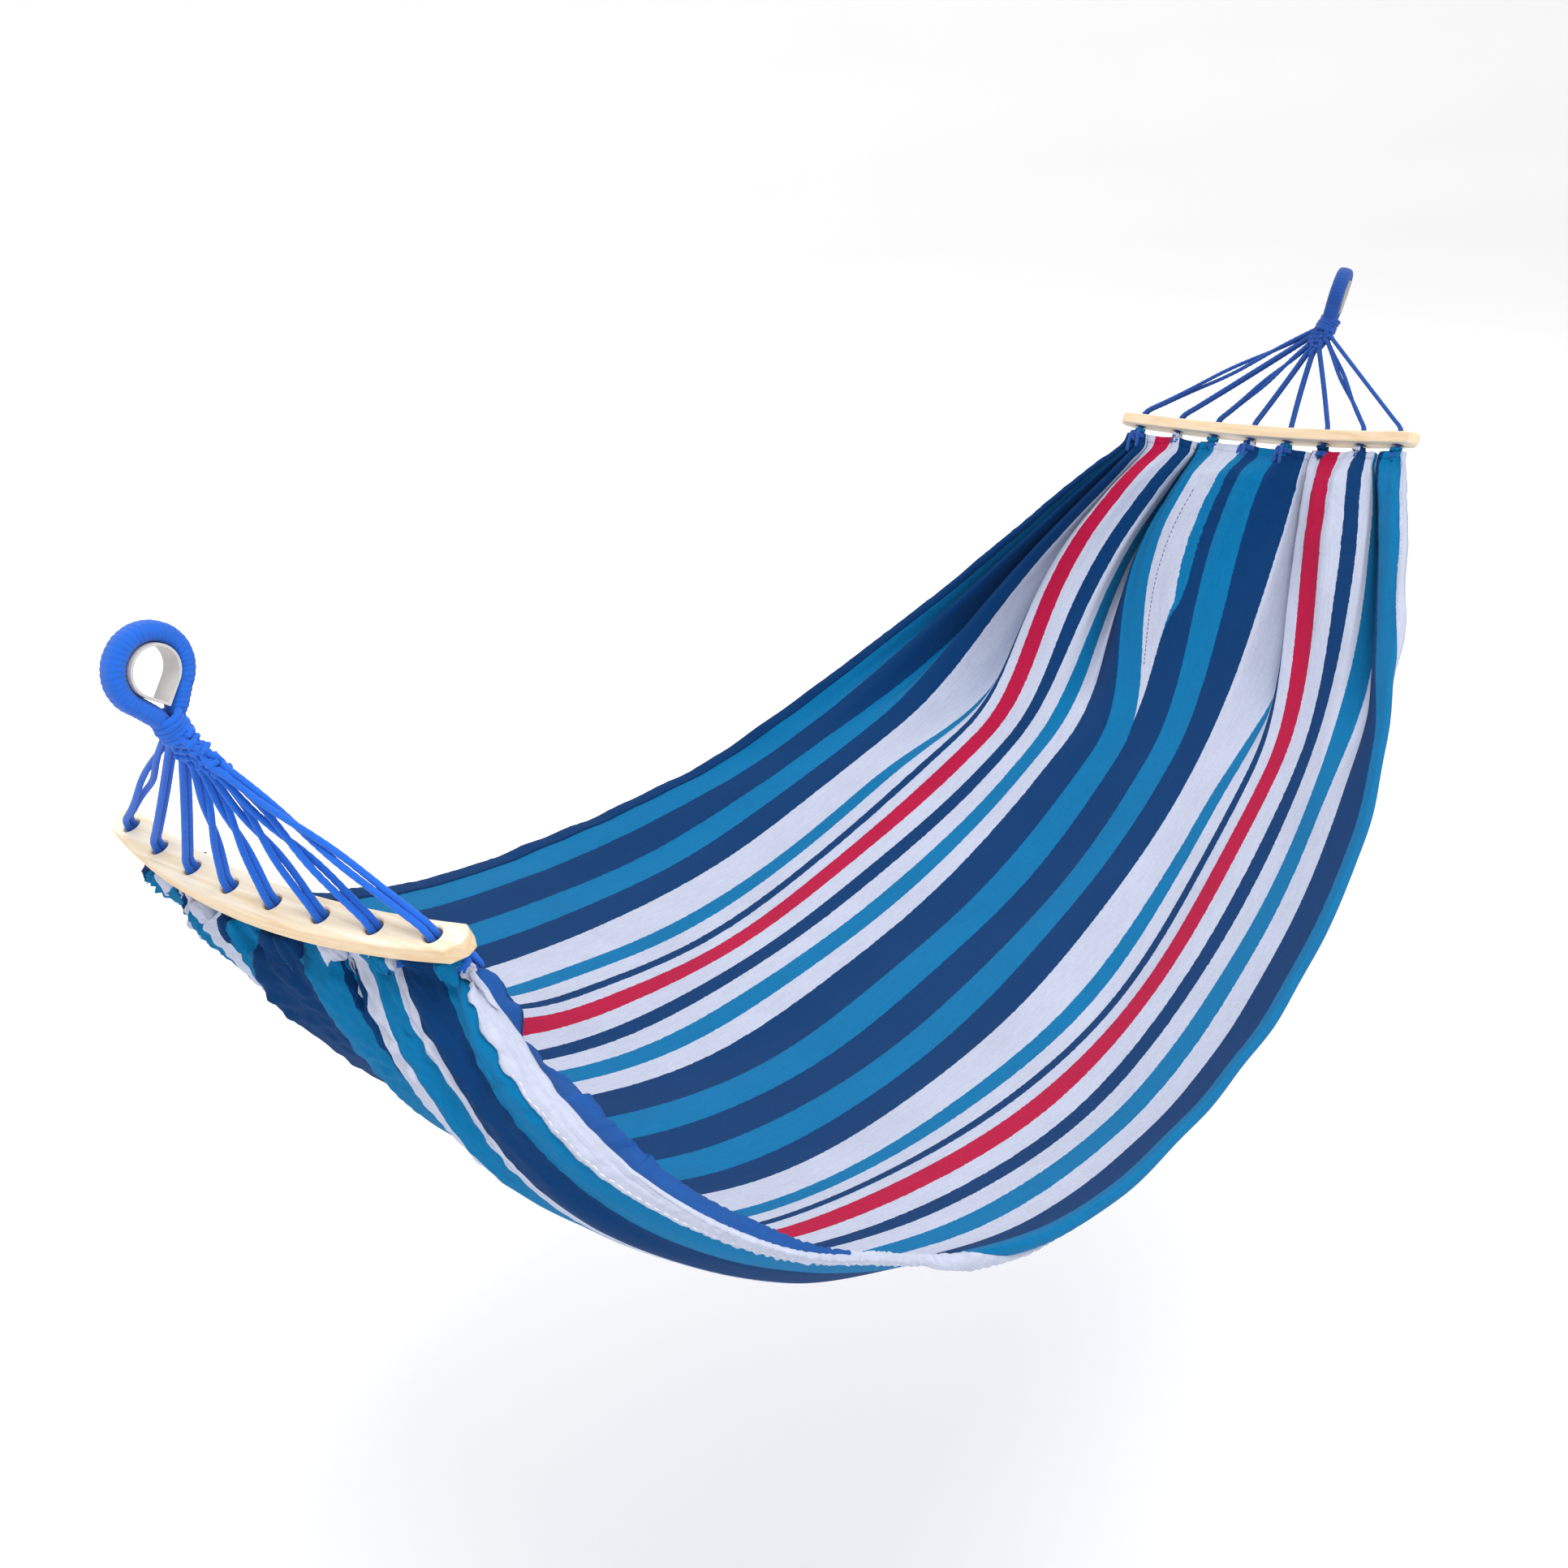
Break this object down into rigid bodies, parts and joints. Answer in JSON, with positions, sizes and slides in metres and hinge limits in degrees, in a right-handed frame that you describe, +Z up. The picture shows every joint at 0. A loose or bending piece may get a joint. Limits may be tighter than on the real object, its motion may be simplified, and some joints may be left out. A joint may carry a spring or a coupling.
{
  "type": "hammock",
  "caption": "Striped cloth hammock hung from two flat curved wooden spreader bars, with doubled cords fanning up from each bar to a plaited neck and a served eye for a hook.",
  "frame": {"origin": "centre of the bore of eye A, which hangs on a hook", "axes": "+Z up as the hammock hangs, +X along the hammock from eye A towards eye B, +Y across it, along eye A's bore"},
  "size_m": [1.8934, 1.0907, 0.6902],
  "materials": {
    "rope": "braided cotton cord",
    "thimble": "satin",
    "wood": "sanded, unvarnished",
    "cloth": "plain weave, striped",
    "hem_navy": "plain weave, double folded",
    "hem_white": "plain weave, double folded and stitched"
  },
  "bodies": {
    "eye_a": {"eye_wrap_a": "rope", "thimble_a": "thimble"},
    "hammock": {"neck_plait_a": "rope", "neck_plait_b": "rope", "fan_cord_a_1": "rope", "fan_cord_a_2": "rope", "fan_cord_a_3": "rope", "fan_cord_a_4": "rope", "fan_cord_a_5": "rope", "fan_cord_a_6": "rope", "fan_cord_a_7": "rope", "fan_cord_a_8": "rope", "fan_cord_b_1": "rope", "fan_cord_b_2": "rope", "fan_cord_b_3": "rope", "fan_cord_b_4": "rope", "fan_cord_b_5": "rope", "fan_cord_b_6": "rope", "fan_cord_b_7": "rope", "fan_cord_b_8": "rope", "tie_knots_a": "rope", "tie_knots_b": "rope", "cloth_gathers_a": "cloth", "cloth_gathers_b": "cloth", "end_hem_a": "cloth", "end_hem_b": "cloth", "cloth_bed": "cloth", "far_hem": "hem_navy", "near_hem": "hem_white"},
    "bar_a": {"spreader_bar_a": "wood"},
    "bar_b": {"spreader_bar_b": "wood"},
    "eye_b": {"eye_wrap_b": "rope", "thimble_b": "thimble"}
  },
  "joints": [
    {"name": "swing", "type": "hinge", "parent": "eye_a", "child": "hammock", "pos_m": [0.00878, 0, -0.04515], "axis": [0.9995, -0.0301, 0.0124], "range_deg": [-35, 35]},
    {"name": "eye_b_swivel", "type": "hinge", "parent": "hammock", "child": "eye_b", "pos_m": [1.80063, -0.054, -0.02295], "axis": [0.9995, -0.0301, 0.0124], "range_deg": [-35, 35]},
    {"name": "bar_a_tilt", "type": "hinge", "parent": "hammock", "child": "bar_a", "pos_m": [0.0562, 0, -0.1959], "axis": [0, 1, 0], "range_deg": [-8, 8]},
    {"name": "bar_b_tilt", "type": "hinge", "parent": "hammock", "child": "bar_b", "pos_m": [1.74023, 0, -0.16359], "axis": [0, 1, 0], "range_deg": [-8, 8]}
  ],
  "couplings": [
    {"joint": "eye_b_swivel", "follows": "swing", "ratio": -1}
  ]
}
